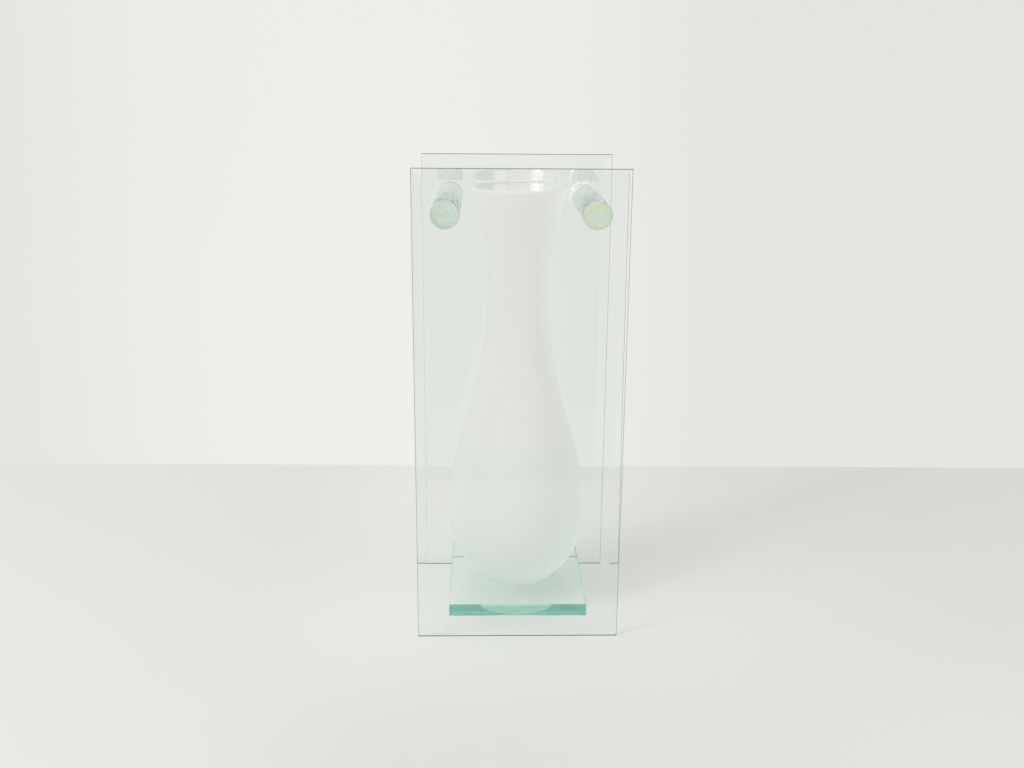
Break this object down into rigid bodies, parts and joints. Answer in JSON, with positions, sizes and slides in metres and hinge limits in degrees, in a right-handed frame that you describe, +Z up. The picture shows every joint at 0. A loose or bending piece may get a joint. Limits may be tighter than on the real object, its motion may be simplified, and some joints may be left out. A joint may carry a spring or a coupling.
{
  "type": "hanging glass vase",
  "caption": "Frosted glass bottle vase with a pear belly and flared mouth, floating on a thick clear shelf between upright bevelled panes tied together by round glass rods.",
  "frame": {"origin": "on the table, in the middle of the footprint of the two panes", "axes": "+Z up, +X to the right of someone facing the front pane, the front pane faces -Y"},
  "size_m": [0.129, 0.116, 0.3],
  "materials": {
    "clear_pane": "polished clear float glass",
    "rod_glass": "polished clear glass, ground ends",
    "shelf_glass": "polished green-edged float glass",
    "frosted_glass": "satin frosted outside, polished inside",
    "adhesive": "cured clear adhesive"
  },
  "bodies": {
    "root": {"front_pane": "clear_pane", "rear_pane": "clear_pane", "left_rod": "rod_glass", "left_rod_front_bond": "adhesive", "left_rod_rear_bond": "adhesive", "right_rod": "rod_glass", "right_rod_front_bond": "adhesive", "right_rod_rear_bond": "adhesive", "shelf": "shelf_glass", "shelf_front_bond": "adhesive", "shelf_rear_bond": "adhesive", "vase": "frosted_glass", "vase_foot_bond": "adhesive"}
  },
  "joints": []
}
